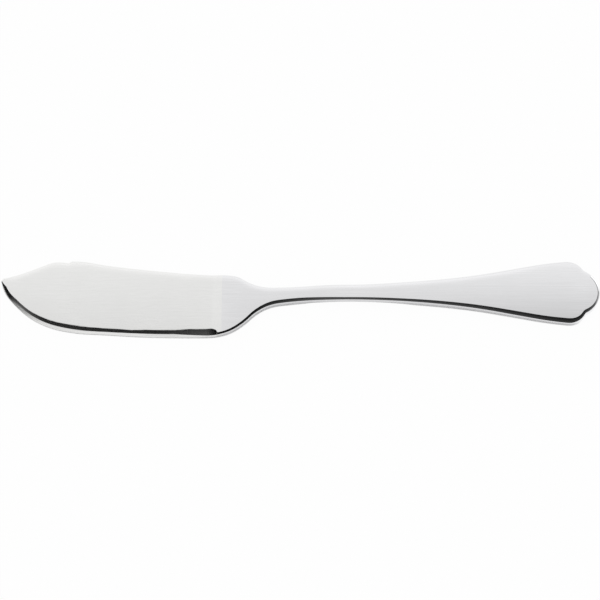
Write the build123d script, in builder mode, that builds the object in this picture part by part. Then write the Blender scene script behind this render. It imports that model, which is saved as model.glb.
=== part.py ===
from build123d import *
from math import acos, atan2, cos, hypot, radians, sin, sqrt
import os

# A table fish knife in polished steel, lying flat. X runs from the tip to the handle's end,
# +Y is the spine, the cutting edge faces -Y, and Z = 0 is the table.
# Headings are in degrees from +X. Heights are measured across the knife from the handle's axis.
# A share is a place along the blade or the handle, as a part of that piece's length.

# Lengths along the knife
blade_length = 74.0
handle_length = 126.0

# Thicknesses of the blade, of the shoulder at the weld and of the handle, which is crowned across
blade_thickness = 2.2
shoulder_thickness = 2.7
handle_thickness = 3.3
handle_crown_radius = 160.0

# Rounding of the upper rims and the tip, chamfer of the lower rims, and the ramp between blade and shoulder
rim_round = 1.15
foot_chamfer = 0.4
tip_round = 1.3
ramp_length = 3.4

# Blade outline, spine side, from the tip to the weld
tip_height = 4.15
tip_spine_heading = 12.0
rise_share = 0.182
rise_height = 9.9
rise_heading = 23.0
brow_share = 0.24
brow_height = 11.38
brow_heading = 7.0
peak_share = 0.32
peak_height = 11.82
slope_share = 0.514
slope_height = 9.76
slope_heading = -7.6
back_share = 0.784
back_height = 7.48
back_heading = -6.0
weld_spine_height = 6.4
weld_spine_heading = -2.5

# Blade outline, edge side, from the tip to the weld
tip_edge_heading = -75.0
prow_share = 0.095
prow_depth = 6.1
prow_heading = -43.5
bow_share = 0.284
bow_depth = 13.34
bow_heading = -12.0
keel_share = 0.54
keel_depth = 15.1
keel_heading = -4.2
belly_share = 0.878
belly_depth = 15.85
weld_edge_depth = 15.2
weld_edge_heading = 14.0

# Notch in the spine, just before the peak: an easy run down, a tight hollow, then a step up over a lip
notch_entry_heading = -7.0
notch_step_heading = 50.0
notch_hollow_radius = 0.4
notch_lip_radius = 1.5

# Ground edge: a narrow land, a steep flank, then the bevel, which ends in the wheel's run-out at the heel.
# At the tip, flank and bevel are one plain slope.
land_height = 0.12
flank_height = 1.15
flank_width = 0.62
bevel_width = 1.1
tip_slope_width = 1.15
prow_slope_share = 0.5
heel_bevel_width = 2.0
heel_gap = 3.8
runout_radius = 2.4
runout_lean = 1.2

# Neck outline, from the weld
throat_run = 9.5
throat_depth = 9.2
throat_heading = 46.0
nape_run = 9.5
nape_depth = 4.2
nape_heading = 8.0
crook_run = 6.8
crook_height = 4.75
crook_heading = -35.0
scruff_run = 10.0
scruff_height = 1.56

# Handle outline, symmetric beyond the waist
waist_share = 0.333
waist_height = 2.62
waist_depth = 2.95
flare_share = 0.524
flare_width = 7.85
flare_heading = 4.5
paddle_share = 0.73
paddle_width = 14.7
paddle_heading = 11.0
end_width = 22.5
shoulder_radius = 6.1
shoulder_heading = 5.5
shoulder_setback = 10.5
lobe_radius = 8.5
nick_radius = 2.0

# Arch under the shaft
arch_start_share = 0.16
arch_crown_share = 0.342
arch_end_share = 0.572
arch_height = 0.75

# Room that cutting shapes have around the knife
tool_margin = 12.0
# A side wall's normal has at most this much of Z, and the weld's face lies within this reach of the weld
wall_lean = 0.1
weld_reach = 0.01

overall_length = blade_length + handle_length
tip_x = -overall_length / 2
end_x = overall_length / 2
weld_x = tip_x + blade_length
# The handle's axis, placed so that the knife is centred across Y
axis_y = (belly_depth - peak_height) / 2
# Side profiles are drawn beyond the spine and cut across the whole knife
half_span = belly_depth + peak_height
side_view = Plane.XZ.offset(-half_span)


def step(point, heading, distance):
    """The point reached from another by going a distance along a heading."""
    return (point[0] + distance * cos(radians(heading)), point[1] + distance * sin(radians(heading)))


def pen(*nodes):
    """Draws a smooth line through nodes of x, y and heading, with two touching arcs on each span."""
    for (x0, y0, heading0), (x1, y1, heading1) in zip(nodes, nodes[1:]):
        start = Vector(x0, y0)
        end = Vector(x1, y1)
        leave = Vector(*step((0, 0), heading0, 1))
        arrive = Vector(*step((0, 0), heading1, 1))
        chord = end - start
        along = chord.dot(leave + arrive)
        turn = 2 * (1 - leave.dot(arrive))
        reach = chord.length**2 / (along + sqrt(along**2 + turn * chord.length**2))
        joint = (start + end + (leave - arrive) * reach) / 2
        TangentArc(start, joint, tangent=leave)
        TangentArc(end, joint, tangent=-arrive)


def arc_about(center, start, end):
    """Draws the short arc about a center, from one point to another."""
    radius = hypot(start[0] - center[0], start[1] - center[1])
    middle = ((start[0] + end[0]) / 2 - center[0], (start[1] + end[1]) / 2 - center[1])
    reach = radius / hypot(*middle)
    ThreePointArc(start, (center[0] + middle[0] * reach, center[1] + middle[1] * reach), end)


def rim_edges(part, upper):
    """The upper or lower edges of a part's side walls, without those at the weld."""
    upright = part.faces().filter_by(lambda f: abs(f.normal_at().Z) < wall_lean)
    walls = upright.filter_by(lambda f: abs(f.center().X - weld_x) > weld_reach)
    edges = walls.edges().filter_by(Axis.Z, reverse=True)
    middle = blade_thickness / 2
    return edges.filter_by(lambda e: (e.center().Z > middle) == upper)


# Blade outline as nodes
tip_center = (tip_x + tip_round, axis_y + tip_height)
spine_start = step(tip_center, tip_spine_heading + 90, tip_round)
edge_start = step(tip_center, tip_edge_heading - 90, tip_round)
rise_x = tip_x + rise_share * blade_length
brow_x = tip_x + brow_share * blade_length
peak_x = tip_x + peak_share * blade_length
slope_x = tip_x + slope_share * blade_length
back_x = tip_x + back_share * blade_length
prow_x = tip_x + prow_share * blade_length
bow_x = tip_x + bow_share * blade_length
keel_x = tip_x + keel_share * blade_length
belly_x = tip_x + belly_share * blade_length
peak = (peak_x, axis_y + peak_height)
lip_center = step(peak, -90, notch_lip_radius)
lip_start = step(lip_center, notch_step_heading + 90, notch_lip_radius)
hollow_center = step(lip_center, notch_step_heading + 90, notch_lip_radius + notch_hollow_radius)
hollow_start = step(hollow_center, notch_entry_heading - 90, notch_hollow_radius)
brow_nodes = [
    (*spine_start, tip_spine_heading),
    (rise_x, axis_y + rise_height, rise_heading),
    (brow_x, axis_y + brow_height, brow_heading),
    (*hollow_start, notch_entry_heading),
]
back_nodes = [
    (*peak, 0),
    (slope_x, axis_y + slope_height, slope_heading),
    (back_x, axis_y + back_height, back_heading),
    (weld_x, axis_y + weld_spine_height, weld_spine_heading),
]
edge_nodes = [
    (*edge_start, tip_edge_heading),
    (prow_x, axis_y - prow_depth, prow_heading),
    (bow_x, axis_y - bow_depth, bow_heading),
    (keel_x, axis_y - keel_depth, keel_heading),
    (belly_x, axis_y - belly_depth, 0),
    (weld_x, axis_y - weld_edge_depth, weld_edge_heading),
]

# Grinding shape along the edge: each level is the edge curve, moved in by that level's width
heel_x = weld_x - heel_gap
flank_foot = foot_chamfer + land_height
bevel_foot = flank_foot + flank_height
bevel_drop = blade_thickness - bevel_foot
flank_slope = flank_width / flank_height
grind_levels = [0, bevel_foot, blade_thickness + bevel_drop]
with BuildPart() as grind:
    for level in grind_levels:
        flank_inset = min(level - flank_foot, flank_height) * flank_slope
        bevel_share = max(level - bevel_foot, 0) / bevel_drop
        inset = flank_inset + bevel_width * bevel_share
        tip_inset = tip_slope_width * (level - flank_foot) / (flank_height + bevel_drop)
        prow_inset = inset + (tip_inset - inset) * prow_slope_share
        heel_inset = flank_inset + heel_bevel_width * bevel_share
        ground = []
        for (x, y, heading), width in zip(edge_nodes, (tip_inset, prow_inset, inset, inset)):
            ground.append((*step((x, y), heading + 90, width), heading))
        ground.append((heel_x, axis_y - belly_depth + heel_inset, 0))
        heel_y = ground[-1][1]
        runout = runout_radius - runout_lean * (1 - level / blade_thickness)
        runout_x = heel_x + runout
        outside_y = axis_y - belly_depth - tool_margin
        lead_in = step(ground[0], tip_edge_heading, -tool_margin)
        with BuildSketch(Plane.XY.offset(level)):
            with BuildLine():
                Line(lead_in, ground[0][:2])
                pen(*ground)
                arc_about((heel_x, heel_y - runout), (heel_x, heel_y), (runout_x, heel_y - runout))
                Polyline(
                    (runout_x, heel_y - runout),
                    (runout_x, outside_y),
                    (tip_x - tool_margin, outside_y),
                    lead_in,
                )
            make_face()
    loft(ruled=True)

with BuildPart() as blade:
    with BuildSketch():
        with BuildLine():
            arc_about(tip_center, spine_start, edge_start)
            pen(*brow_nodes)
            arc_about(hollow_center, hollow_start, lip_start)
            arc_about(lip_center, lip_start, peak)
            pen(*back_nodes)
            pen(*edge_nodes)
            Line(back_nodes[-1][:2], edge_nodes[-1][:2])
        make_face()
    extrude(amount=shoulder_thickness)
    # Side view: flat blade, then the ramp up to the shoulder
    with BuildSketch(side_view):
        with BuildLine():
            pen((weld_x - ramp_length, blade_thickness, 0), (weld_x, shoulder_thickness, 0))
            Polyline(
                (weld_x, shoulder_thickness),
                (weld_x, 0),
                (tip_x, 0),
                (tip_x, blade_thickness),
                (weld_x - ramp_length, blade_thickness),
            )
        make_face()
    extrude(amount=2 * half_span, mode=Mode.INTERSECT)
    fillet(rim_edges(blade.part, True), rim_round)
    chamfer(rim_edges(blade.part, False), foot_chamfer)
    add(grind.part, mode=Mode.SUBTRACT)

# Handle outline: neck and waist, then symmetric sides, rounded shoulders and a round end lobe
throat_x = weld_x + throat_run
nape_x = throat_x + nape_run
crook_x = weld_x + crook_run
scruff_x = crook_x + scruff_run
waist_x = weld_x + waist_share * handle_length
flare_x = weld_x + flare_share * handle_length
paddle_x = weld_x + paddle_share * handle_length
lobe_center = (end_x - lobe_radius, 0)
shoulder_center = (end_x - shoulder_setback, end_width / 2 - shoulder_radius)
shoulder_start = step(shoulder_center, 90 + shoulder_heading, shoulder_radius)
# The nick's arc touches both the shoulder's and the lobe's arcs from outside
center_gap = hypot(shoulder_center[0] - lobe_center[0], shoulder_center[1] - lobe_center[1])
lobe_reach = lobe_radius + nick_radius
shoulder_reach = shoulder_radius + nick_radius
gap_heading = atan2(shoulder_center[1], shoulder_center[0] - lobe_center[0])
nick_turn = acos((center_gap**2 + lobe_reach**2 - shoulder_reach**2) / (2 * center_gap * lobe_reach))
nick_heading = gap_heading - nick_turn
nick_center = (lobe_center[0] + lobe_reach * cos(nick_heading), lobe_reach * sin(nick_heading))
lobe_start = (lobe_center[0] + lobe_radius * cos(nick_heading), lobe_radius * sin(nick_heading))
shoulder_end = (
    shoulder_center[0] + (nick_center[0] - shoulder_center[0]) * shoulder_radius / shoulder_reach,
    shoulder_center[1] + (nick_center[1] - shoulder_center[1]) * shoulder_radius / shoulder_reach,
)


def handle_side(side, waist_reach):
    """Draws one side of the handle, from the waist to the middle of the end lobe."""

    def place(point):
        return (point[0], axis_y + side * point[1])

    pen(
        (*place((waist_x, waist_reach)), 0),
        (*place((flare_x, flare_width / 2)), side * flare_heading),
        (*place((paddle_x, paddle_width / 2)), side * paddle_heading),
        (*place(shoulder_start), side * shoulder_heading),
    )
    arc_about(place(shoulder_center), place(shoulder_start), place(shoulder_end))
    arc_about(place(nick_center), place(shoulder_end), place(lobe_start))
    arc_about(place(lobe_center), place(lobe_start), place((end_x, 0)))


# Top of the handle as one smooth patch: flat across at the weld, crowned from the waist to the end
crown_sag = half_span**2 / (2 * handle_crown_radius)
top_rows = [
    (weld_x, shoulder_thickness, 0),
    (throat_x, handle_thickness, crown_sag / 2),
    (waist_x, handle_thickness, crown_sag),
    (flare_x, handle_thickness, crown_sag),
    (end_x + tool_margin, handle_thickness, crown_sag),
]
handle_top = Face.make_bezier_surface(
    [
        [
            (x, axis_y - half_span, crest - sag),
            (x, axis_y, crest + sag),
            (x, axis_y + half_span, crest - sag),
        ]
        for x, crest, sag in top_rows
    ]
)

with BuildPart() as handle:
    with BuildSketch():
        with BuildLine():
            pen(
                (weld_x, axis_y + weld_spine_height, weld_spine_heading),
                (crook_x, axis_y + crook_height, crook_heading),
                (scruff_x, axis_y + scruff_height, 0),
                (waist_x, axis_y + waist_height, 0),
            )
            handle_side(1, waist_height)
            handle_side(-1, waist_depth)
            pen(
                (weld_x, axis_y - weld_edge_depth, weld_edge_heading),
                (throat_x, axis_y - throat_depth, throat_heading),
                (nape_x, axis_y - nape_depth, nape_heading),
                (waist_x, axis_y - waist_depth, 0),
            )
            Line((weld_x, axis_y + weld_spine_height), (weld_x, axis_y - weld_edge_depth))
        make_face()
    extrude(amount=handle_thickness + tool_margin)
    # Side view: the flat underside with a low arch under the shaft
    arch_start = (weld_x + arch_start_share * handle_length, 0)
    arch_crown = (weld_x + arch_crown_share * handle_length, arch_height)
    arch_end = (weld_x + arch_end_share * handle_length, 0)
    with BuildSketch(side_view):
        with BuildLine():
            pen((*arch_start, 0), (*arch_crown, 0), (*arch_end, 0))
            Polyline(
                arch_end,
                (end_x, 0),
                (end_x, handle_thickness + tool_margin),
                (weld_x, handle_thickness + tool_margin),
                (weld_x, 0),
                arch_start,
            )
        make_face()
    extrude(amount=2 * half_span, mode=Mode.INTERSECT)
    extrude(handle_top, amount=handle_thickness + tool_margin, dir=(0, 0, -1), mode=Mode.INTERSECT)
    fillet(rim_edges(handle.part, True), rim_round)
    chamfer(rim_edges(handle.part, False), foot_chamfer)

os.makedirs("parts", exist_ok=True)
blade.part.label = "blade"
export_step(blade.part, "parts/blade.step")
handle.part.label = "handle"
export_step(handle.part, "parts/handle.step")
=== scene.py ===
from math import acos, cos, pi, radians, sin, sqrt

import bmesh
import bpy
import numpy as np
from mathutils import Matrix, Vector


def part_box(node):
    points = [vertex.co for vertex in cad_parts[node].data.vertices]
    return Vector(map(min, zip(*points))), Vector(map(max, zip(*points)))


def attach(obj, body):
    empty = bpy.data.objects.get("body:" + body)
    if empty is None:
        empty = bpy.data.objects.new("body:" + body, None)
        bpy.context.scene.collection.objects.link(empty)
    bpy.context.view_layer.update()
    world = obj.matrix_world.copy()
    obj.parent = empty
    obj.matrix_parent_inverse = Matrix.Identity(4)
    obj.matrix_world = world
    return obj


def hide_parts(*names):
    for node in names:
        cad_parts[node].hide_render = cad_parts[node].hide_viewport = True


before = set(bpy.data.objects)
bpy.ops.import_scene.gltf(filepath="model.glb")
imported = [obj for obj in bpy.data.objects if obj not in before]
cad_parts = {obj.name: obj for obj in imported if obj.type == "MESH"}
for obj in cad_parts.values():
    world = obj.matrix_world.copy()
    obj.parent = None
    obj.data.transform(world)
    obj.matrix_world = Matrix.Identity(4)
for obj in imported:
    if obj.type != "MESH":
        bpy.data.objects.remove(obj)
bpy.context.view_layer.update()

# A table fish knife in polished steel, lying flat with its cutting edge towards the camera.
# Sizes are in millimetres and headings in degrees, as in the part's own drawing. Meshes are in metres.
# A point of the plan is a complex number, X + Yj, and a share is a place along the blade or the handle.
MM = 0.001

# Ends and thicknesses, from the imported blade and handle
blade_low, blade_high = (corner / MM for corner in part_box("blade"))
_, handle_high = (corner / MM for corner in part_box("handle"))
tip_x = blade_low.x
weld_x = blade_high.x
end_x = handle_high.x
blade_length = weld_x - tip_x
handle_length = end_x - weld_x
shoulder_thickness = blade_high.z
handle_thickness = handle_high.z
blade_thickness = 2.2
peak_height = 11.82
axis_y = blade_high.y - peak_height

# Roundings of the lower rims, of the tip in plan and of the upper rims. The upper rims are broken edges,
# a little rounder than a chamfer. The near one grows towards the end, where the hand holds it.
# Its places are share and value, like the places of other values below.
foot_radius = 0.4
tip_radius = 1.3
far_rim_radius = 0.6
far_rim_power = 1.1
near_rim_power = 1.2
blade_rim_places = [(0, 0.3), (0.06, 0.9), (0.9, 0.9), (1, 0.58)]
handle_rim_places = [
    (0, 0.58), (0.065, 0.7), (0.134, 0.95), (0.208, 0.92), (0.325, 0.64),
    (0.474, 0.72), (0.622, 0.92), (0.771, 1.12), (0.85, 1.2), (0.92, 1.32), (0.97, 0.9), (1, 0.6),
]

# Blade outline as share of the length, height from the handle's axis and heading
tip_height = 4.15
tip_spine_heading = 12
tip_edge_heading = -75
brow_places = [(0.182, 9.9, 23), (0.24, 11.38, 7)]
peak_share = 0.32
back_places = [(0.514, 9.76, -7.6), (0.784, 7.48, -6), (1, 6.4, -2.5)]
edge_places = [
    (0.095, -6.1, -43.5),
    (0.284, -13.34, -12),
    (0.54, -15.1, -4.2),
    (0.878, -15.85, 0),
    (1, -15.2, 14),
]

# Notch in the spine, just before the peak: an easy run down, a tight hollow, then a step up over a lip
notch_entry_heading = -7
notch_step_heading = 50
notch_hollow_radius = 0.4
notch_lip_radius = 1.5

# Ground edge: a narrow land, a steep flank, then the bevel, which ends in the wheel's run-out at the heel.
# It is ground by hand, so the flank's height and width and the bevel's width wander along the edge.
# At the tip, flank and bevel are one plain slope.
land_height = 0.12
flank_height = 1.15
flank_height_places = [
    (0, 1.2), (0.27, 1.33), (0.35, 1.28), (0.45, 1.12), (0.54, 1.15),
    (0.66, 1.25), (0.78, 1.27), (0.857, 1.15), (1, 1.18),
]
flank_width_places = [
    (0, 0.68), (0.27, 0.75), (0.35, 0.68), (0.45, 0.58), (0.6, 0.64),
    (0.66, 0.72), (0.78, 0.8), (0.857, 0.5), (0.93, 0.2),
]
bevel_places = [
    (0, 0.75), (0.1, 0.8), (0.2, 1.15), (0.35, 1.25), (0.47, 1),
    (0.6, 0.95), (0.66, 1.15), (0.79, 1.3), (0.857, 1.85), (0.95, 2.2),
]
bevel_face_room = 0.3
tip_slope_width = 1.0
tip_slope_places = [(0, 1), (0.04, 0.85), (0.07, 0.5), (0.11, 0.25), (0.2, 0.1), (0.284, 0)]
tip_lead = 3.2
heel_gap = 3.8
runout_radius = 2.4

# Ramp from the blade up to the shoulder
ramp_length = 3.4

# Neck and handle outlines: distance from the weld or share of the length, height, heading
neck_far_places = [(6.8, 4.75, -35), (16.8, 1.56, 0)]
neck_near_places = [(9.5, -9.2, 46), (19, -4.2, 8)]
waist_share = 0.333
waist_height = 2.62
waist_depth = 2.95
handle_places = [(0.524, 3.925, 4.5), (0.73, 7.35, 11)]
end_width = 22.5
shoulder_radius = 6.1
shoulder_heading = 5.5
shoulder_setback = 10.5
lobe_radius = 8.5
nick_radius = 2.0

# Top: the handle's crown, how it sets in past the weld and how far beyond the end it is drawn,
# the blade's share of that crown, and the soft roll into the far rim
crown_radius = 160.0
throat_run = 9.5
throat_crown = 0.5
top_margin = 12.0
top_weights = (1, 4, 6, 4, 1)
blade_crown_places = [(0, 0.2), (0.8, 0.2), (1, 0)]
roll_width = 1.4
roll_depth = 0.1
blade_roll_places = [(0, 0), (0.06, 0.65), (1, 0.65)]
handle_roll_places = [(0, 0.8), (0.75, 1), (0.88, 0.35), (1, 0.35)]
# Arch under the shaft as share of the length and height
arch_places = [(0.16, 0), (0.342, 0.75), (0.572, 0)]

# Mesh counts, and the stretches with closer stations as place, reach and gain
arc_points = 160
blade_stations = 520
handle_stations = 560
notch_setback = 1.0
runout_setback = 2.4
nick_setback = 4.5
notch_x = tip_x + peak_share * blade_length - notch_setback
blade_fine = [(tip_x, 3, 3), (notch_x, 2.5, 4), (weld_x - runout_setback, 2.6, 5)]
handle_fine = [(weld_x, 3, 1), (end_x - nick_setback, 2, 3), (end_x, 1.5, 1)]
weld_blend = 3.0
weld_lean_limit = 0.5
straight_turn = 1e-9


def unit(heading):
    """The unit step along a heading."""
    return np.exp(1j * radians(heading))


def smooth(share):
    """An easy rise from 0 to 1."""
    share = np.clip(share, 0, 1)
    return share * share * (3 - 2 * share)


def arc(start, heading, end):
    """Points and headings along the arc that leaves its start on a heading and reaches its end."""
    chord = end - start
    half_turn = np.angle(chord / unit(heading))
    share = np.linspace(0, 1, arc_points)
    straight = abs(half_turn) < straight_turn
    bow = share if straight else np.sin(half_turn * share) / np.sin(half_turn)
    points = start + abs(chord) * bow * unit(heading) * np.exp(1j * half_turn * share)
    return points, radians(heading) + 2 * half_turn * share


def trace(nodes):
    """A smooth line through nodes of point and heading, with two touching arcs on each span."""
    points, headings = [], []
    for (start, heading0), (end, heading1) in zip(nodes, nodes[1:]):
        leave, arrive, chord = unit(heading0), unit(heading1), end - start
        along = ((leave + arrive) * chord.conjugate()).real
        turn = 2 * (1 - (leave * arrive.conjugate()).real)
        reach = abs(chord) ** 2 / (along + sqrt(along**2 + turn * abs(chord) ** 2))
        joint = (start + end + (leave - arrive) * reach) / 2
        first, first_headings = arc(start, heading0, joint)
        second, second_headings = arc(end, heading1 + 180, joint)
        points += [first[:-1], second[::-1][:-1]]
        headings += [first_headings[:-1], second_headings[::-1][:-1] - pi]
    points.append([nodes[-1][0]])
    headings.append([radians(nodes[-1][1])])
    return np.concatenate(points), np.concatenate(headings)


def runs(points):
    """Lengths along a line from its first point."""
    return np.concatenate([[0], np.cumsum(np.abs(np.diff(points)))])


def spread(points, count, fine):
    """Lengths along a line for its stations, closer together on the fine stretches."""
    steps = np.abs(np.diff(points))
    middles = (points.real[1:] + points.real[:-1]) / 2
    density = 1 + sum(gain * np.exp(-(((middles - place) / reach) ** 2)) for place, reach, gain in fine)
    weight = np.concatenate([[0], np.cumsum(steps * density)])
    return np.interp(np.linspace(0, weight[-1], count), weight, runs(points))


def rails(far_nodes, near_nodes, count, fine):
    """Both outlines at matching stations along X, as points and inward steps, and the near one's runs."""
    far, far_headings = trace(far_nodes)
    near, near_headings = trace(near_nodes)
    near_runs = runs(near)
    stations = spread(near, count, fine)
    x = np.interp(stations, near_runs, near.real)
    near_y = np.interp(stations, near_runs, near.imag)
    near_way = np.interp(stations, near_runs, near_headings)
    far_y = np.interp(x, far.real, far.imag)
    far_way = np.interp(x, far.real, far_headings)
    # At the weld the inward step lies in the weld's own plane, so that both pieces meet face to face
    weld_share = smooth(1 - np.abs(x - weld_x) / weld_blend)
    sides = []
    for y, way, turn in ((far_y, far_way, -1j), (near_y, near_way, 1j)):
        square = np.exp(1j * way) * turn
        level = turn / np.maximum(np.cos(way), weld_lean_limit)
        sides.append((x + 1j * y, square + (level - square) * weld_share))
    return sides[0], sides[1], stations


def on_neck(places):
    """Nodes along the neck, from places of distance, height and heading."""
    return [(complex(weld_x + run, axis_y + height), heading) for run, height, heading in places]


def on_blade(places):
    """Nodes along the blade, from places of share, height and heading."""
    return [
        (complex(tip_x + share * blade_length, axis_y + height), heading)
        for share, height, heading in places
    ]


def handle_side(side, waist_reach):
    """Nodes of one side of the handle, from the waist to the middle of the end lobe."""
    lobe_center = complex(end_x - lobe_radius, 0)
    shoulder_center = complex(end_x - shoulder_setback, end_width / 2 - shoulder_radius)
    gap = shoulder_center - lobe_center
    lobe_reach = lobe_radius + nick_radius
    shoulder_reach = shoulder_radius + nick_radius
    nick_turn = acos((abs(gap) ** 2 + lobe_reach**2 - shoulder_reach**2) / (2 * abs(gap) * lobe_reach))
    lobe_angle = np.degrees(np.angle(gap) - nick_turn)
    nick_center = lobe_center + lobe_reach * unit(lobe_angle)
    shoulder_angle = np.degrees(np.angle(nick_center - shoulder_center))
    start_angle = 90 + shoulder_heading
    places = [(waist_share, waist_reach, 0), *handle_places]
    nodes = [(complex(weld_x + share * handle_length, height), heading) for share, height, heading in places]
    nodes += [
        (shoulder_center + shoulder_radius * unit(start_angle), start_angle - 90),
        (shoulder_center + shoulder_radius * unit(shoulder_angle), shoulder_angle - 90),
        (lobe_center + lobe_radius * unit(lobe_angle), lobe_angle - 90),
        (complex(end_x, 0), -90),
    ]
    return [(complex(point.real, axis_y + side * point.imag), side * heading) for point, heading in nodes]


# Plan of the blade: both outlines start at the foremost point of the round tip
tip_center = complex(tip_x + tip_radius, axis_y + tip_height)
tip_point = tip_center - tip_radius
peak = complex(tip_x + peak_share * blade_length, axis_y + peak_height)
lip_center = peak - 1j * notch_lip_radius
lip_way = unit(notch_step_heading + 90)
hollow_center = lip_center + (notch_lip_radius + notch_hollow_radius) * lip_way
spine_nodes = [
    (tip_point, 90),
    (tip_center + tip_radius * unit(tip_spine_heading + 90), tip_spine_heading),
    *on_blade(brow_places),
    (hollow_center + notch_hollow_radius * unit(notch_entry_heading - 90), notch_entry_heading),
    (lip_center + notch_lip_radius * lip_way, notch_step_heading),
    (peak, 0),
    *on_blade(back_places),
]
edge_nodes = [
    (tip_point, -90),
    (tip_center + tip_radius * unit(tip_edge_heading - 90), tip_edge_heading),
    *on_blade(edge_places),
]
blade_far, blade_near, blade_runs = rails(spine_nodes, edge_nodes, blade_stations, blade_fine)
blade_x = blade_near[0].real

# Plan of the handle
neck_far_nodes = [spine_nodes[-1], *on_neck(neck_far_places), *handle_side(1, waist_height)]
neck_near_nodes = [edge_nodes[-1], *on_neck(neck_near_places), *handle_side(-1, waist_depth)]
handle_far, handle_near, handle_runs = rails(neck_far_nodes, neck_near_nodes, handle_stations, handle_fine)
handle_x = handle_near[0].real


def along_blade(places):
    """Values at the blade's stations, from places of share and value."""
    return np.interp((blade_x - tip_x) / blade_length, *zip(*places))


def along_handle(places):
    """Values at the handle's stations, from places of share and value."""
    return np.interp((handle_x - weld_x) / handle_length, *zip(*places))


# Grinding along the edge: full from just behind the tip to the heel, then lifted off on the wheel's round
bevel_width = along_blade(bevel_places)
flank_rise = along_blade(flank_height_places)
flank_width = along_blade(flank_width_places)
tip_slope = along_blade(tip_slope_places)
heel_run = np.clip(blade_x - (weld_x - heel_gap), 0, runout_radius)
wheel_lift = runout_radius - np.sqrt(runout_radius**2 - heel_run**2)
ground_share = np.clip(1 - wheel_lift / runout_radius, 0, 1) * smooth(blade_runs / tip_lead)

# Heights and near rim along the blade
ramp_share = smooth(1 - (weld_x - blade_x) / ramp_length)
blade_crest = blade_thickness + (shoulder_thickness - blade_thickness) * ramp_share
blade_crown = along_blade(blade_crown_places)
blade_rim = along_blade(blade_rim_places)

# Heights and near rim along the handle: the top rises from the weld and takes on its crown
waist_x = weld_x + waist_share * handle_length
flare_x = weld_x + handle_places[0][0] * handle_length
top_controls = np.array([
    (weld_x, shoulder_thickness, 0),
    (weld_x + throat_run, handle_thickness, throat_crown),
    (waist_x, handle_thickness, 1),
    (flare_x, handle_thickness, 1),
    (end_x + top_margin, handle_thickness, 1),
])
top_share = np.linspace(0, 1, handle_stations)
top_steps = len(top_weights) - 1
blend = np.array([
    weight * top_share**step * (1 - top_share) ** (top_steps - step)
    for step, weight in enumerate(top_weights)
])
top_x, top_crest, top_crown = top_controls.T @ blend
handle_crest = np.interp(handle_x, top_x, top_crest)
handle_crown = np.interp(handle_x, top_x, top_crown)
arch_nodes = [(complex(weld_x + share * handle_length, height), 0) for share, height in arch_places]
arch_line, _ = trace(arch_nodes)
handle_floor = np.interp(handle_x, arch_line.real, arch_line.imag, left=0, right=0)
handle_rim = along_handle(handle_rim_places)

# Section: round the knife from the far top edge, over the top, down the near side and back underneath.
# Each row has its share of the way across, then a plain side's shares of the rim's and the foot's radius,
# inwards and upwards, and of the full height, then the same for a ground side.
section_keys = [
    "across", "rim_in", "rim_up", "foot_in", "foot_up", "rise",
    "ground_in", "ground_flank", "ground_bevel", "ground_rise", "ground_up", "flank_up", "slope_in",
    "grind", "near",
]
face_columns = [0.004, 0.02, 0.05, 0.1, 0.17, 0.26, 0.38, 0.5, 0.62, 0.74, 0.83, 0.9, 0.95, 0.98, 0.996]
floor_columns = [0.98, 0.85, 0.65, 0.5, 0.35, 0.15, 0.02]
rim_steps = 14
wall_steps = 3
foot_steps = 6
# Softened corners of the ground side: how far each reaches, as shares of the faces before and after it
brink_reaches = (0.5, 0.12)
shelf_reaches = (0.12, 0.1)
land_reaches = (0.16, 0.7)
corner_points = 5
land_last_share = 0.75


def plain_side(power):
    """Rows of a plain side from the top to the foot: rim in, rim up, foot in, foot up, rise.

    The rim is a quarter circle at a power of 2 and a straight chamfer at 1.
    """
    rows = []
    for a in np.linspace(pi / 2, 0, rim_steps):
        rows.append((1 - max(cos(a), 0) ** (2 / power), sin(a) ** (2 / power) - 1, 0, 0, 1))
    for f in np.linspace(0, 1, wall_steps + 2)[1:-1]:
        rows.append((0, f - 1, 0, f, 1 - f))
    for a in np.linspace(0, -pi / 2, foot_steps):
        rows.append((0, 0, 1 - cos(a), 1 + sin(a), 0))
    return rows


def soften(before, corner, after, reach_before, reach_after):
    """Points that round a corner between its neighbours."""
    first = corner + (before - corner) * reach_before
    last = corner + (after - corner) * reach_after
    shares = np.linspace(0, 1, corner_points)
    return [first * (1 - t) ** 2 + corner * 2 * t * (1 - t) + last * t**2 for t in shares]


def ground_side():
    """Rows of a ground side from the top to the foot's start, as the ground values of section_keys."""
    flank_foot = foot_radius + land_height
    slope_share = flank_height / (blade_thickness - flank_foot)
    face = np.array((bevel_face_room, 1, 1, 1, 0, 0, tip_slope_width + bevel_face_room))
    brink = np.array((0, 1, 1, 1, 0, 0, tip_slope_width))
    shelf = np.array((0, 1, 0, 0, flank_foot, 1, tip_slope_width * slope_share))
    land = np.array((0, 0, 0, 0, flank_foot, 0, 0))
    foot = np.array((0, 0, 0, 0, foot_radius, 0, 0))
    rows = [face]
    rows += soften(face, brink, shelf, *brink_reaches)
    rows += soften(brink, shelf, land, *shelf_reaches)
    rows += soften(shelf, land, foot, *land_reaches)
    rows.append(land + (foot - land) * land_last_share)
    return rows


def section_rows():
    """The whole section, as rows of section_keys."""
    near = plain_side(near_rim_power)
    far = plain_side(far_rim_power)
    ground = ground_side()
    rows = []
    for t in face_columns:
        rows.append((t, *near[0], *ground[0], 0, 1))
    for k, row in enumerate(near):
        foot = (foot_radius * row[2], 0, 0, 0, foot_radius * row[3], 0, foot_radius * row[2])
        cut = ground[k] if k < len(ground) else foot
        rows.append((1, *row, *cut, float(0 < k < len(ground)), 1))
    for t in floor_columns:
        rows.append((t, *near[-1], foot_radius, 0, 0, 0, 0, 0, foot_radius, 0, 1))
    for row in reversed(far):
        rows.append((0, *row, 0, 0, 0, row[4], 0, 0, 0, 0, 0))
    return np.array(rows)


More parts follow.
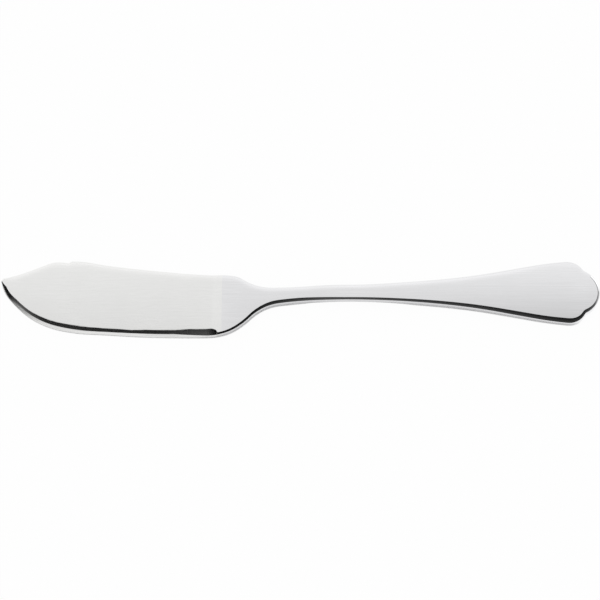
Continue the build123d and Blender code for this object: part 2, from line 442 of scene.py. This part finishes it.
def guide(name, points, inward, **numbers):
    """A row of points that carries its inward steps and its values for the loft."""
    mesh = bpy.data.meshes.new(name)
    flat = np.zeros(len(points))
    mesh.from_pydata((np.stack([points.real, points.imag, flat], 1) * MM).tolist(), [], [])
    steps = np.stack([inward.real, inward.imag, flat], 1).astype(np.float32)
    mesh.attributes.new("inward", "FLOAT_VECTOR", "POINT").data.foreach_set("vector", steps.ravel())
    for key, values in numbers.items():
        data = np.broadcast_to(np.asarray(values, np.float32), len(points))
        mesh.attributes.new(key, "FLOAT", "POINT").data.foreach_set("value", np.ascontiguousarray(data))
    piece = bpy.data.objects.new(name, mesh)
    bpy.context.scene.collection.objects.link(piece)
    return piece


# Nodes, for the loft, the steel and the room alike
def wire(tree, kind, values=(), **settings):
    """A node with its settings, its inputs set or linked in order."""
    made = tree.nodes.new(kind)
    for key, value in settings.items():
        setattr(made, key, value)
    for key, value in dict(values).items():
        socket = made.inputs[key]
        if isinstance(value, bpy.types.NodeSocket):
            tree.links.new(value, socket)
        else:
            socket.default_value = value
    return made


def calc(tree, operation, *values):
    """A sum with numbers."""
    return wire(tree, "ShaderNodeMath", enumerate(values), operation=operation).outputs[0]


def whole(tree, operation, *values):
    """A sum with whole numbers."""
    return wire(tree, "FunctionNodeIntegerMath", enumerate(values), operation=operation).outputs[0]


def vector(tree, operation, *values):
    """A sum with vectors."""
    return wire(tree, "ShaderNodeVectorMath", enumerate(values), operation=operation).outputs[0]


def scaled(tree, step, length):
    """A vector times a number."""
    return wire(tree, "ShaderNodeVectorMath", {0: step, "Scale": length}, operation="SCALE").outputs[0]


def between(tree, start, end):
    """The distance between two points."""
    return wire(tree, "ShaderNodeVectorMath", {0: start, 1: end}, operation="DISTANCE").outputs["Value"]


def toward(tree, start, end, share):
    """The number that lies at a share of the way from start to end."""
    return calc(tree, "MULTIPLY_ADD", calc(tree, "SUBTRACT", end, start), share, start)


loft_objects = ("Far rail", "Near rail", "Section")
loft_sizes = ("Far rim radius", "Foot radius", "Crown radius", "Axis", "Roll width", "Roll depth")
near_keys = (
    "crest", "floor", "crown", "roll", "rim",
    "ground", "flank_width", "flank_rise", "bevel", "slope", "run",
)
merge_distance = 0.001


def loft_tree():
    """Node tree: one closed skin round two rails, with rounded rims and a ground edge."""
    tree = bpy.data.node_groups.new("knife_skin", "GeometryNodeTree")
    tree.interface.new_socket("Geometry", in_out="OUTPUT", socket_type="NodeSocketGeometry")
    for name in loft_objects:
        tree.interface.new_socket(name, in_out="INPUT", socket_type="NodeSocketObject")
    for name in loft_sizes:
        tree.interface.new_socket(name, in_out="INPUT", socket_type="NodeSocketFloat")
    tree.interface.new_socket("Steel", in_out="INPUT", socket_type="NodeSocketMaterial")
    given = tree.nodes.new("NodeGroupInput").outputs
    rows = {}
    sizes = {}
    for name in loft_objects:
        rows[name] = wire(tree, "GeometryNodeObjectInfo", {"Object": given[name]}).outputs["Geometry"]
        measured = wire(tree, "GeometryNodeAttributeDomainSize", {"Geometry": rows[name]})
        sizes[name] = measured.outputs["Point Count"]
    columns = whole(tree, "ADD", sizes["Section"], 1)
    grid = wire(tree, "GeometryNodeMeshGrid", {"Vertices X": sizes["Near rail"], "Vertices Y": columns})
    index = tree.nodes.new("GeometryNodeInputIndex").outputs[0]
    station = whole(tree, "DIVIDE_FLOOR", index, columns)
    column = whole(tree, "MODULO", whole(tree, "MODULO", index, columns), sizes["Section"])

    def read(row, key, place, kind="FLOAT"):
        named = wire(tree, "GeometryNodeInputNamedAttribute", {"Name": key}, data_type=kind)
        values = {"Geometry": rows[row], "Value": named.outputs["Attribute"], "Index": place}
        return wire(tree, "GeometryNodeSampleIndex", values, data_type=kind).outputs["Value"]

    along = {key: read("Near rail", key, station) for key in near_keys}
    part = {key: read("Section", key, column) for key in section_keys}
    far = read("Far rail", "position", station, "FLOAT_VECTOR")
    far_in = read("Far rail", "inward", station, "FLOAT_VECTOR")
    near = read("Near rail", "position", station, "FLOAT_VECTOR")
    near_in = read("Near rail", "inward", station, "FLOAT_VECTOR")

    # Insets and heights of the plain section, then of the ground one
    foot_inset = calc(tree, "MULTIPLY", part["foot_in"], given["Foot radius"])
    far_inset = calc(tree, "MULTIPLY_ADD", part["rim_in"], given["Far rim radius"], foot_inset)
    plain_inset = calc(tree, "MULTIPLY_ADD", part["rim_in"], along["rim"], foot_inset)
    rim = toward(tree, given["Far rim radius"], along["rim"], part["near"])
    foot_lift = calc(tree, "MULTIPLY", part["foot_up"], given["Foot radius"])
    lift = calc(tree, "MULTIPLY_ADD", part["rim_up"], rim, foot_lift)
    cut_inset = calc(tree, "MULTIPLY_ADD", part["ground_flank"], along["flank_width"], part["ground_in"])
    cut_inset = calc(tree, "MULTIPLY_ADD", part["ground_bevel"], along["bevel"], cut_inset)
    cut_inset = toward(tree, cut_inset, part["slope_in"], along["slope"])
    cut_lift = calc(tree, "MULTIPLY_ADD", part["flank_up"], along["flank_rise"], part["ground_up"])
    near_inset = toward(tree, plain_inset, cut_inset, along["ground"])
    near_ground = calc(tree, "MULTIPLY", along["ground"], part["near"])
    full_lift = toward(tree, lift, cut_lift, near_ground)
    rise = toward(tree, part["rise"], part["ground_rise"], along["ground"])

    # Place between the rails, then the height under the crown, which rolls off softly into the far rim
    far_point = vector(tree, "ADD", far, scaled(tree, far_in, far_inset))
    near_point = vector(tree, "ADD", near, scaled(tree, near_in, near_inset))
    width = vector(tree, "SUBTRACT", near_point, far_point)
    plan = vector(tree, "ADD", far_point, scaled(tree, width, part["across"]))
    rim_gap = between(tree, plan, far_point)
    roll_share = calc(tree, "SUBTRACT", 1, calc(tree, "DIVIDE", rim_gap, given["Roll width"]))
    roll_share = calc(tree, "POWER", calc(tree, "MAXIMUM", roll_share, 0), 2)
    roll = calc(tree, "MULTIPLY", calc(tree, "MULTIPLY", roll_share, given["Roll depth"]), along["roll"])
    flat = wire(tree, "ShaderNodeSeparateXYZ", {0: plan}).outputs
    offset = calc(tree, "SUBTRACT", flat["Y"], given["Axis"])
    crown_across = calc(tree, "MULTIPLY", given["Crown radius"], 2)
    sag = calc(tree, "DIVIDE", calc(tree, "MULTIPLY", offset, offset), crown_across)
    sag = calc(tree, "MULTIPLY_ADD", sag, along["crown"], roll)
    depth = calc(tree, "SUBTRACT", along["crest"], calc(tree, "ADD", sag, along["floor"]))
    z = calc(tree, "ADD", calc(tree, "MULTIPLY_ADD", rise, depth, along["floor"]), full_lift)
    place = wire(tree, "ShaderNodeCombineXYZ", {"X": flat["X"], "Y": flat["Y"], "Z": z}).outputs[0]
    values = {"Geometry": grid.outputs["Mesh"], "Position": place}
    skin = wire(tree, "GeometryNodeSetPosition", values).outputs[0]

    # Coordinates along the edge, and where it is ground, for the steel
    grain = wire(tree, "ShaderNodeCombineXYZ", {"X": along["run"], "Y": near_inset, "Z": z}).outputs[0]
    values = {"Geometry": skin, "Name": "edge_grain", "Value": grain}
    skin = wire(tree, "GeometryNodeStoreNamedAttribute", values, data_type="FLOAT_VECTOR").outputs[0]
    marked = calc(tree, "MULTIPLY", along["ground"], part["grind"])
    values = {"Geometry": skin, "Name": "ground", "Value": marked}
    skin = wire(tree, "GeometryNodeStoreNamedAttribute", values, data_type="FLOAT").outputs[0]
    values = {"Geometry": skin, "Distance": merge_distance * MM}
    skin = wire(tree, "GeometryNodeMergeByDistance", values).outputs[0]
    skin = wire(tree, "GeometryNodeRealizeInstances", {"Geometry": skin}).outputs[0]
    values = {"Geometry": skin, "Material": given["Steel"]}
    skin = wire(tree, "GeometryNodeSetMaterial", values).outputs[0]
    wire(tree, "NodeGroupOutput", {0: skin})
    return tree


def loft(name, tree, far, near, section, steel):
    """A closed piece between two rails, with a flat face at the weld."""
    host = bpy.data.objects.new(name, bpy.data.meshes.new(name))
    bpy.context.scene.collection.objects.link(host)
    modifier = host.modifiers.new("loft", "NODES")
    modifier.node_group = tree
    given = {
        "Far rail": far,
        "Near rail": near,
        "Section": section,
        "Far rim radius": far_rim_radius * MM,
        "Foot radius": foot_radius * MM,
        "Crown radius": crown_radius * MM,
        "Axis": axis_y * MM,
        "Roll width": roll_width * MM,
        "Roll depth": roll_depth * MM,
        "Steel": steel,
    }
    for socket in tree.interface.items_tree:
        if socket.in_out == "INPUT":
            modifier[socket.identifier] = given[socket.name]
    evaluated = host.evaluated_get(bpy.context.evaluated_depsgraph_get())
    skin = bpy.data.meshes.new_from_object(evaluated)
    host.modifiers.remove(modifier)
    host.data = skin
    shape = bmesh.new()
    shape.from_mesh(skin)
    weld_rim = [edge for edge in shape.edges if edge.is_boundary]
    bmesh.ops.contextual_create(shape, geom=weld_rim)
    bmesh.ops.recalc_face_normals(shape, faces=shape.faces)
    for face in shape.faces:
        face.smooth = True
    for edge in weld_rim:
        edge.smooth = False
    shape.to_mesh(skin)
    shape.free()
    return host


# Steel: fine lines from the polishing belt, soft streaks and clouds, a few scuffs, and the wheel's marks
polish_tone = 0.06
polish_roughness = 0.06
polish_height = 0.4
streak_height = 10.0
streak_patchiness = 4.0
cloud_tone = 0.05
cloud_size = 11.0
cloud_roughness = 0.08
scuff_turns = (9, -17, 58)
scuff_length = 9.0
scuff_width = 0.07
scuff_level = 0.2
scuff_tone = 0.5
scuff_roughness = 1.2
scuff_height = 6.0
grind_roughness = 0.04
grind_length = 14.0
grind_width = 0.4
grind_height = 14.0
least_roughness = 0.04
bump_strength = 0.3
bump_depth = 0.02
fine_detail = 4.0
soft_detail = 2.0
noise_middle = 0.5


def polished_steel(name, colour, roughness, line_size, streak_size, streak_tone):
    """Bright steel with fine lengthwise lines and streaks, and deeper marks where the edge is ground.

    Sizes of lines and streaks are length and width.
    """
    steel = bpy.data.materials.new(name)
    steel.use_nodes = True
    tree = steel.node_tree
    surface = tree.nodes["Principled BSDF"]
    surface.inputs["Metallic"].default_value = 1

    def noise(coordinates, length, width, detail):
        stretch = (1 / (length * MM), 1 / (width * MM), 1 / (width * MM))
        stretched = vector(tree, "MULTIPLY", coordinates, stretch)
        values = {"Vector": stretched, "Scale": 1.0, "Detail": detail}
        made = wire(tree, "ShaderNodeTexNoise", values).outputs["Fac"]
        return calc(tree, "SUBTRACT", made, noise_middle)

    def mix_in(layer, amount, total):
        return calc(tree, "MULTIPLY_ADD", layer, amount, total)

    place = tree.nodes.new("ShaderNodeTexCoord").outputs["Object"]
    ground = wire(tree, "ShaderNodeAttribute", attribute_name="ground").outputs["Fac"]
    grain = wire(tree, "ShaderNodeAttribute", attribute_name="edge_grain").outputs["Vector"]
    lines = noise(place, *line_size, fine_detail)
    cloud = noise(place, cloud_size, cloud_size, soft_detail)
    streaks = noise(place, *streak_size, soft_detail)
    streaks = calc(tree, "MULTIPLY", streaks, mix_in(cloud, streak_patchiness, 1.0))
    grind = calc(tree, "MULTIPLY", noise(grain, grind_length, grind_width, soft_detail), ground)
    scuffs = 0.0
    for turn in scuff_turns:
        values = {"Vector": place, "Rotation": (0, 0, radians(turn))}
        turned = wire(tree, "ShaderNodeMapping", values).outputs[0]
        mark = calc(tree, "SUBTRACT", noise(turned, scuff_length, scuff_width, soft_detail), scuff_level)
        scuffs = calc(tree, "ADD", calc(tree, "MAXIMUM", mark, 0.0), scuffs)

    tone = mix_in(streaks, streak_tone, mix_in(lines, polish_tone, mix_in(cloud, cloud_tone, 1.0)))
    tone = mix_in(scuffs, -scuff_tone, tone)
    tree.links.new(scaled(tree, colour, tone), surface.inputs["Base Color"])
    rough = mix_in(ground, grind_roughness, mix_in(lines, polish_roughness, roughness))
    rough = mix_in(scuffs, scuff_roughness, mix_in(cloud, cloud_roughness, rough))
    rough = calc(tree, "MAXIMUM", rough, least_roughness)
    tree.links.new(rough, surface.inputs["Roughness"])
    height = mix_in(streaks, streak_tone * streak_height, calc(tree, "MULTIPLY", lines, polish_height))
    height = mix_in(scuffs, -scuff_height, mix_in(grind, grind_height, height))
    values = {"Strength": bump_strength, "Distance": bump_depth * MM, "Height": height}
    bump = wire(tree, "ShaderNodeBump", values)
    tree.links.new(bump.outputs["Normal"], surface.inputs["Normal"])
    return steel


blade_steel = polished_steel(
    "blade_polish",
    colour=(0.88, 0.88, 0.87),
    roughness=0.1,
    line_size=(22, 0.16),
    streak_size=(4.5, 0.55),
    streak_tone=0.055,
)
handle_steel = polished_steel(
    "handle_polish",
    colour=(0.84, 0.84, 0.85),
    roughness=0.08,
    line_size=(30, 0.2),
    streak_size=(16, 0.42),
    streak_tone=0.09,
)

# The two pieces
rows = section_rows()
values = dict(zip(section_keys, rows.T))
for key in ("ground_in", "ground_up", "slope_in"):
    values[key] = values[key] * MM
section_line = np.arange(len(rows)) + 0j
section = guide("section", section_line, 0 * section_line, **values)
skin_tree = loft_tree()

blade_far_rail = guide("blade_far", *blade_far)
blade_near_rail = guide(
    "blade_near",
    *blade_near,
    crest=blade_crest * MM,
    floor=0,
    crown=blade_crown,
    roll=along_blade(blade_roll_places),
    rim=blade_rim * MM,
    ground=ground_share,
    flank_width=flank_width * MM,
    flank_rise=flank_rise * MM,
    bevel=bevel_width * MM,
    slope=tip_slope,
    run=blade_runs * MM,
)
blade = loft("knife_blade", skin_tree, blade_far_rail, blade_near_rail, section, blade_steel)

handle_far_rail = guide("handle_far", *handle_far)
handle_near_rail = guide(
    "handle_near",
    *handle_near,
    crest=handle_crest * MM,
    floor=handle_floor * MM,
    crown=handle_crown,
    roll=along_handle(handle_roll_places),
    rim=handle_rim * MM,
    ground=0,
    flank_width=0,
    flank_rise=0,
    bevel=0,
    slope=0,
    run=handle_runs * MM,
)
handle = loft("knife_handle", skin_tree, handle_far_rail, handle_near_rail, section, handle_steel)

for piece in (section, blade_far_rail, blade_near_rail, handle_far_rail, handle_near_rail):
    bpy.data.objects.remove(piece)
for piece, node, slot in ((blade, "blade", "blade_steel"), (handle, "handle", "handle_steel")):
    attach(piece, "root")
    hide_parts(node)

# The set
scene = bpy.context.scene
scene.view_settings.view_transform = "Standard"
plain_white = (1, 1, 1, 1)


def set_piece(name, points, faces, material):
    """A mesh of the set in its material."""
    mesh = bpy.data.meshes.new(name)
    mesh.from_pydata(points, [], faces)
    mesh.materials.append(material)
    piece = bpy.data.objects.new(name, mesh)
    scene.collection.objects.link(piece)
    return piece


def bare_material(name):
    """A material that has no shader yet, and its tree."""
    material = bpy.data.materials.new(name)
    material.use_nodes = True
    tree = material.node_tree
    tree.nodes.remove(tree.nodes["Principled BSDF"])
    return material, tree


def white_glow(tree, strength):
    """A shader that gives off white light."""
    return wire(tree, "ShaderNodeEmission", {"Color": plain_white, "Strength": strength}).outputs[0]


def mixed(tree, share, first, second):
    """A share of the second shader over the first."""
    return wire(tree, "ShaderNodeMixShader", {0: share, 1: first, 2: second}).outputs[0]


def show(tree, output, shader):
    """Link a shader to the tree's output."""
    tree.links.new(shader, tree.nodes[output].inputs["Surface"])


# Floor: a white card that the camera sees as white, with the knife's shadow, which is mostly a painted
# shadow from how open the floor is and a little real. In the steel it shows a painted reflection: white
# behind the knife and at the handle's end, grey in front of it, and dark beside the tip and under the edge.
# Each stretch has its start and end, then its values there.
floor_behind = (-4, 8, 0.45, 1)
floor_right = (89.5, 94.5, 0, 1)
floor_shade = (-101, -87, 0.04, 1)
floor_shade_end = (6, 9, 0, 1)
floor_tip = (-100.5, -98, 1, 0)
# Painted shadow: how open the floor is dims its glow, near the foot for the camera and further out for the
# steel
foot_shade_reach = 0.3
foot_shade_power = 2.0
foot_mirror_reach = 1.1
foot_mirror_power = 9.0
foot_shade_samples = 6
floor_half = 3.0
floor_drop = 0.02
floor_grey = 0.88
floor_glow_share = 0.96


def floor_with_painted_shade():
    """The floor's material, one for the camera and the light and another for the steel, with painted shadow
    and painted reflection.
    """
    material, tree = bare_material("floor_with_painted_shade")
    path = tree.nodes.new("ShaderNodeLightPath").outputs
    place = tree.nodes.new("ShaderNodeTexCoord").outputs["Object"]
    spot = wire(tree, "ShaderNodeSeparateXYZ", {0: place}).outputs

    def over_floor(value, start, end, low, high):
        """An easy run from one value to another over a stretch of the floor."""
        values = {"Value": value, 1: start * MM, 2: end * MM, 3: low, 4: high}
        return wire(tree, "ShaderNodeMapRange", values, interpolation_type="SMOOTHSTEP").outputs[0]

    def open_floor(reach, power):
        """How open the floor is to the room: 1 in the open and less under the knife's edge."""
        values = {"Distance": reach * MM}
        share = wire(tree, "ShaderNodeAmbientOcclusion", values, samples=foot_shade_samples).outputs["AO"]
        return calc(tree, "POWER", share, power)

    # Painted reflection: stretches of the floor that the steel shows white, grey or dark
    behind = over_floor(spot["Y"], *floor_behind)
    right = over_floor(spot["X"], *floor_right)
    shade = over_floor(spot["X"], *floor_shade)
    shade = calc(tree, "MAXIMUM", shade, over_floor(spot["Y"], *floor_shade_end))
    shade = calc(tree, "MAXIMUM", shade, over_floor(spot["X"], *floor_tip))
    # Painted contact shadow, which the camera sees under the near edge
    clear = open_floor(foot_shade_reach, foot_shade_power)
    # Painted dark line under the edge, which the steel shows at its foot
    mirrored = calc(tree, "MULTIPLY", behind, open_floor(foot_mirror_reach, foot_mirror_power))
    shown = calc(tree, "MULTIPLY", calc(tree, "MAXIMUM", mirrored, right), shade)
    glow_share = calc(tree, "MULTIPLY", path["Is Glossy Ray"], shown)
    seen_share = calc(tree, "MULTIPLY", calc(tree, "MAXIMUM", clear, right), floor_glow_share)
    glow_share = calc(tree, "MULTIPLY_ADD", path["Is Camera Ray"], seen_share, glow_share)
    # For reflections the card's grey is also painted darker by the same shade
    grey = toward(tree, floor_grey, calc(tree, "MULTIPLY", shade, floor_grey), path["Is Glossy Ray"])
    card = wire(tree, "ShaderNodeBsdfDiffuse", {"Color": grey}).outputs[0]
    show(tree, "Material Output", mixed(tree, glow_share, card, white_glow(tree, 1.0)))
    return material


floor_signs = ((-1, -1), (1, -1), (1, 1), (-1, 1))
floor_points = [(x * floor_half, y * floor_half, -floor_drop * MM) for x, y in floor_signs]
floor = set_piece("floor", floor_points, [(0, 1, 2, 3)], floor_with_painted_shade())

# Dark card close along the near edge, which the steel shows as the dark line on its rim and bevel.
# It is a painted reflection: a sheet that glows in set greys, which only reflections see; it casts no
# shadow.
# Its greys are places of X and tone, stronger at its foot and rising round the handle's end.
card_gap = 0.5
card_foot_share = 0.8
card_tip_foot = 0.3
card_flank_room = 0.05
card_reach_room = 0.1
card_places = [
    (-97.5, 0.003), (-93, 0.07), (-86, 0.015), (-45, 0.01), (-31, 0.05), (-28.5, 0.002),
    (-15, 0.005), (8, 0.034), (52, 0.02), (95, 0.01), (98.5, 0.05), (100, 0.2),
]
card_foot_gain = 4.0
card_edge_gain = 1.6
card_roof_gain = 0.7
card_end_tone = 0.75
card_end_run = 2.6


def card_rows():
    """Rows of the dark card from its foot to its roof, as plan points, heights and tones."""
    round_end = np.flatnonzero(handle_x > end_x - card_end_run)[::-1]
    stretches = (
        (blade_near[0], handle_near[0], handle_far[0][round_end]),
        (blade_near[1], handle_near[1], handle_far[1][round_end]),
        (blade_rim, handle_rim, np.full(len(round_end), far_rim_radius)),
        (blade_crown, handle_crown, handle_crown[round_end]),
        (blade_crest, handle_crest, handle_crest[round_end]),
    )
    line, inward, rim, crown, crest = (np.concatenate(parts) for parts in stretches)
    top = crest - crown * (line.imag - axis_y) ** 2 / (2 * crown_radius)
    reach = rim.copy()
    foot = top - rim * card_foot_share

    # Along the ground edge it starts above the flank and reaches over the bevel
    cut_reach = (flank_width + bevel_width) * (1 - tip_slope) + tip_slope_width * tip_slope
    flank_top = foot_radius + land_height + flank_rise + card_flank_room
    cut_foot = flank_top * (1 - tip_slope) + card_tip_foot * tip_slope
    reach[:blade_stations] += (cut_reach - reach[:blade_stations]) * ground_share
    foot[:blade_stations] += (cut_foot - foot[:blade_stations]) * ground_share

    # Painted reflection tones along X, brighter round the handle's end
    tone = np.interp(line.real, *zip(*card_places))
    tone[-len(round_end):] += np.linspace(0, card_end_tone, len(round_end))
    return [
        (line - inward * card_gap, foot, tone * card_foot_gain),
        (line - inward * card_gap / 2, top + card_gap / 2, tone * card_edge_gain),
        (line + inward * (reach + card_reach_room), top + card_gap, tone * card_roof_gain),
    ]


def sheet_faces(row_count, row_length):
    """Faces between rows of points."""
    faces = []
    for row in range(row_count - 1):
        for k in range(row_length - 1):
            first = row * row_length + k
            faces.append((first, first + 1, first + row_length + 1, first + row_length))
    return faces


def card_reflection_glow():
    """The dark card's material, which gives off its own dim grey: the painted reflection."""
    material, tree = bare_material("card_painted_reflection")
    tone = wire(tree, "ShaderNodeAttribute", attribute_name="tone").outputs["Fac"]
    show(tree, "Material Output", white_glow(tree, tone))
    return material


plans, heights, greys = (np.array(parts) for parts in zip(*card_rows()))
card_points = np.stack([plans.real.ravel(), plans.imag.ravel(), heights.ravel()], 1) * MM
dark_card = set_piece("dark_card", card_points.tolist(), sheet_faces(*plans.shape), card_reflection_glow())
card_tones = dark_card.data.attributes.new("tone", "FLOAT", "POINT")
card_tones.data.foreach_set("value", greys.ravel().astype(np.float32))
dark_card.visible_camera = False
dark_card.visible_diffuse = False
dark_card.visible_transmission = False
dark_card.visible_shadow = False

# Room: soft light from behind the knife, and what the steel shows of it, brighter behind than on the
# camera's side. Tones are places of how far a ray looks along a direction, from -1 to 1, and greys.
near_side = (0, -1, 0)
right_side = (1, 0, 0)
overhead = (0, 0, 1)
sky_tones = [(-1, 1.3), (1, 0.5)]
room_tones = [
    (-1, 0.82), (-0.93, 0.86), (-0.82, 0.95), (-0.7, 1.1), (-0.62, 1.05), (-0.52, 0.95), (-0.42, 0.86),
    (-0.35, 0.77), (-0.29, 0.67), (-0.2, 0.6), (-0.05, 0.57), (0.3, 0.61), (1, 0.82),
]
right_tones = [(-1, 1.06), (0, 1), (1, 0.92)]
height_tones = [(-1, 0.85), (0.35, 0.85), (0.6, 0.89), (0.76, 0.98), (0.84, 1), (1, 1)]
ramp_middle = 0.5


def studio():
    """The room: white for the camera, its tones for the steel, and a plain sky for the light."""
    world = bpy.data.worlds.new("studio")
    world.use_nodes = True
    tree = world.node_tree
    path = tree.nodes.new("ShaderNodeLightPath").outputs
    way = tree.nodes.new("ShaderNodeTexCoord").outputs["Generated"]

    def tones(direction, places):
        """A run of greys along a direction, on a ramp from 0 to 1."""
        values = {0: way, 1: direction}
        facing = wire(tree, "ShaderNodeVectorMath", values, operation="DOT_PRODUCT").outputs["Value"]
        spot = calc(tree, "MULTIPLY_ADD", facing, ramp_middle, ramp_middle)
        ramp = wire(tree, "ShaderNodeValToRGB", {0: spot})
        stops = ramp.color_ramp.elements
        while len(stops) < len(places):
            stops.new(ramp_middle)
        for stop, (place, tone) in zip(stops, places):
            stop.position = place * ramp_middle + ramp_middle
            stop.color = (tone, tone, tone, 1)
        return ramp.outputs["Color"]

    def light(colour):
        """The room's light in a colour."""
        return wire(tree, "ShaderNodeBackground", {"Color": colour, "Strength": 1.0}).outputs[0]

    room = vector(tree, "MULTIPLY", tones(near_side, room_tones), tones(right_side, right_tones))
    room = vector(tree, "MULTIPLY", room, tones(overhead, height_tones))
    lit = mixed(tree, path["Is Glossy Ray"], light(tones(near_side, sky_tones)), light(room))
    tree.nodes.remove(tree.nodes["Background"])
    show(tree, "World Output", mixed(tree, path["Is Camera Ray"], lit, light(plain_white)))
    return world


scene.world = studio()

# Camera, on the photograph's viewing angle
camera_elevation = 65
camera_distance = 0.7
camera_aim_y = 0.165
picture_width = 0.2006
camera_data = bpy.data.cameras.new("camera")
camera_data.lens = camera_data.sensor_width * camera_distance / picture_width
camera = bpy.data.objects.new("camera", camera_data)
scene.collection.objects.link(camera)
back = Vector((0, -cos(radians(camera_elevation)), sin(radians(camera_elevation))))
camera.location = Vector((0, camera_aim_y * MM, 0)) + back * camera_distance
camera.rotation_euler = (-back).to_track_quat("-Z", "Y").to_euler()
scene.camera = camera
